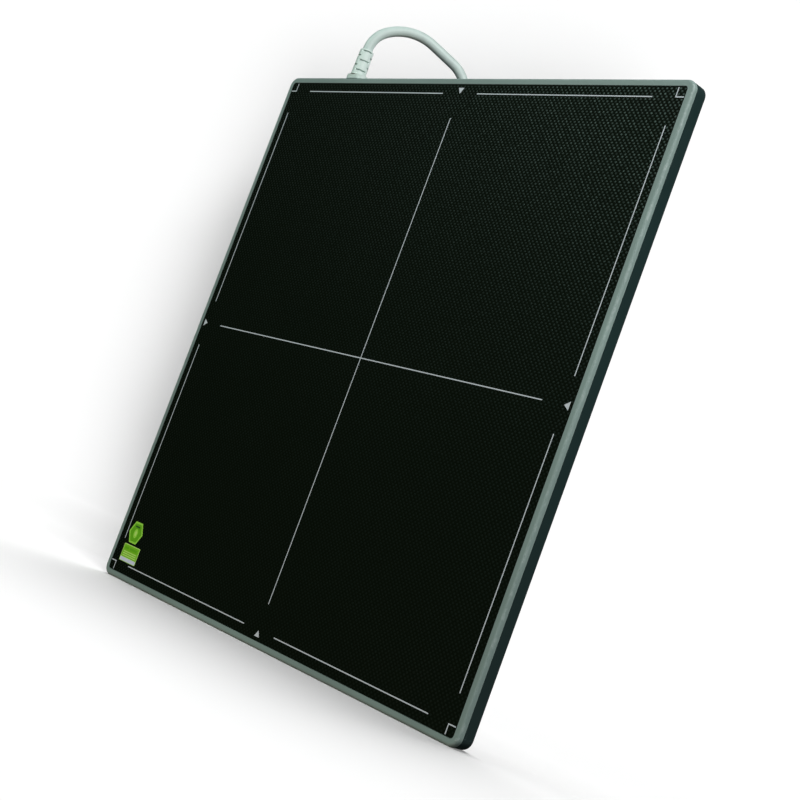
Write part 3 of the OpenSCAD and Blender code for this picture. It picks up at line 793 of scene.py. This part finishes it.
# suns for the paper only: name, direction towards the sun, share of SUN_POWER,
# angular size in degrees, group that casts the shadow
SUNS = [
    ("left_shade", (2.0, -1.0, -0.78), 0.78, 23.0, "body"),
    ("low_shade", (2.0, -1.0, 0.05), 0.30, 17.0, "body"),
    ("corner_shade", (2.4, -1.0, 0.80), 0.66, 17.0, "body"),
    ("even", (0.764, -0.640, 0.0), 0.90, 2.0, "body"),
    ("floor_soft", (-0.24, 0.15, 0.95), 0.80, 44.0, "casters"),
]
SUN_POWER = 3.7
PAPER_WHITE = 1.015      # brightness of unshaded paper


def sweep(name):
    """A pale paper sheet: floor, rounded cove and upright back in one piece."""
    profile = [(FLOOR_FRONT_Y + k * SHEET_STEP, FLOOR_Z) for k in range(8)]
    for k in range(25):
        t = math.radians(90.0 * k / 24)
        profile.append((WALL_Y - COVE_RADIUS + COVE_RADIUS * math.sin(t),
                        FLOOR_Z + COVE_RADIUS - COVE_RADIUS * math.cos(t)))
    profile += [(WALL_Y, FLOOR_Z + COVE_RADIUS + SHEET_STEP * k) for k in range(1, 9)]
    verts = [(SHEET_HALF_WIDTH * (2.0 * i / SHEET_COLUMNS - 1.0), y, z)
             for y, z in profile for i in range(SHEET_COLUMNS + 1)]
    faces = []
    for j in range(len(profile) - 1):
        for i in range(SHEET_COLUMNS):
            k = j * (SHEET_COLUMNS + 1) + i
            faces.append((k, k + 1, k + SHEET_COLUMNS + 2, k + SHEET_COLUMNS + 1))
    mesh = bpy.data.meshes.new(name)
    mesh.from_pydata(verts, [], faces)
    mesh.polygons.foreach_set("use_smooth", [True] * len(faces))
    o = add_object(name, mesh)
    o.visible_diffuse = False
    o.visible_glossy = False
    return o


def paper(name):
    """Matt paper, evenly white where no shadow falls, and clear from behind."""
    m = Material(name)
    geometry = m.new("ShaderNodeNewGeometry")
    total = AMBIENT * math.pi / SUN_POWER
    for _, toward, share, _, _ in SUNS:
        dot = m.new("ShaderNodeVectorMath", operation="DOT_PRODUCT")
        m.feed(dot.inputs[0], geometry.outputs["Normal"])
        dot.inputs[1].default_value = Vector(toward).normalized()
        facing = m.math("MAXIMUM", dot.outputs["Value"], 0.0)
        total = m.plus(total, m.times(facing, share))
    white = m.math("DIVIDE", PAPER_WHITE * math.pi / SUN_POWER, total, clamp=True)
    grey = m.new("ShaderNodeCombineColor")
    for socket in grey.inputs[:3]:
        m.feed(socket, white)
    m.set(colour=grey.outputs[0], rough=1.0, spec=0.0)
    pick = m.new("ShaderNodeMixShader")
    m.feed(pick.inputs[0], geometry.outputs["Backfacing"])
    m.feed(pick.inputs[1], m.shader.outputs[0])
    m.feed(pick.inputs[2], m.new("ShaderNodeBsdfTransparent").outputs[0])
    m.feed(m.output.inputs["Surface"], pick.outputs[0])
    return m.material


floor = sweep("pale_floor_sweep")
floor.data.materials.append(paper("pale_paper"))


# ---------- lights ----------

BODY_TOP_Z = 0.236       # CAD pieces that end below this belong to the body


def group_of(name, objects):
    group = bpy.data.collections.new(name)
    for o in objects:
        group.objects.link(o)
    return group


pieces = list(nodes.values()) + [hex_sticker, strip_sticker, relief, cable]
casters = group_of("casters", pieces)
body = group_of("body", [o for n, o in nodes.items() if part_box(n)[1].z < BODY_TOP_Z])
paper_only = group_of("paper_only", [floor])
lit = group_of("lit_pieces", pieces)


def area(name, at, aim, size, power, colour=(1, 1, 1)):
    """A rectangular lamp that lights the product only."""
    data = bpy.data.lights.new(name, "AREA")
    data.shape = "RECTANGLE"
    data.size, data.size_y = size
    data.energy = power
    data.color = colour
    o = add_object(name, data)
    o.location = at
    o.rotation_euler = (Vector(aim) - Vector(at)).to_track_quat("-Z", "Y").to_euler()
    o.light_linking.receiver_collection = lit
    o.light_linking.blocker_collection = casters
    return o


def sun(name, toward, share, spread, blockers):
    """A soft sun that lights the paper only; the blockers cast its shadow."""
    data = bpy.data.lights.new(name, "SUN")
    data.energy = share * SUN_POWER
    data.angle = math.radians(spread)
    o = add_object(name, data)
    o.rotation_euler = Vector(toward).to_track_quat("Z", "Y").to_euler()
    o.light_linking.receiver_collection = paper_only
    o.light_linking.blocker_collection = {"body": body, "casters": casters}[blockers]
    return o


lamps = [
    area("key", at=(0.95, -0.24, 0.85), aim=(0.1, 0.0, 0.1), size=(0.5, 0.5), power=17.0),
    area("front_soft", at=(-1.06, -1.60, 1.08), aim=(0.1, 0.0, 0.1), size=(0.8, 0.8),
         power=19.0, colour=(0.80, 1.0, 0.94)),
    area("camera_fill", at=(1.1, -1.7, 0.05), aim=(0.0, 0.0, -0.1), size=(1.2, 0.3), power=8.0),
    area("rear_soft", at=(-0.6, 1.8, 0.7), aim=(0.0, 0.0, 0.0), size=(1.4, 1.4), power=14.0),
    area("rear_fill", at=(0.9, 1.4, -0.5), aim=(0.0, 0.0, -0.05), size=(0.9, 0.9), power=2.0),
    area("floor_bounce", at=(-0.25, -0.75, -0.80), aim=(0.0, 0.0, -0.2), size=(1.0, 0.5),
         power=2.8, colour=(1.0, 0.76, 0.58)),
]
suns = [sun(*row) for row in SUNS]


# ---------- camera ----------

def add_camera():
    data = bpy.data.cameras.new("camera")
    data.lens = 70.06
    data.sensor_width = 36.0
    data.shift_x = 0.0059
    data.shift_y = 0.0131
    data.clip_start, data.clip_end = 0.01, 50.0
    place = (0.9188, -0.7348, -0.1229)
    right = Vector((0.6237, 0.7004, 0.347)).normalized()
    back = Vector((0.764, -0.6401, -0.081))
    back = (back - right * back.dot(right)).normalized()
    up = back.cross(right).normalized()
    camera = add_object("camera", data)
    camera.matrix_world = Matrix([*zip(right, up, back, place), (0, 0, 0, 1)])
    bpy.context.scene.camera = camera


add_camera()
bpy.context.scene.view_settings.view_transform = "Standard"
bpy.context.scene.view_settings.look = "None"
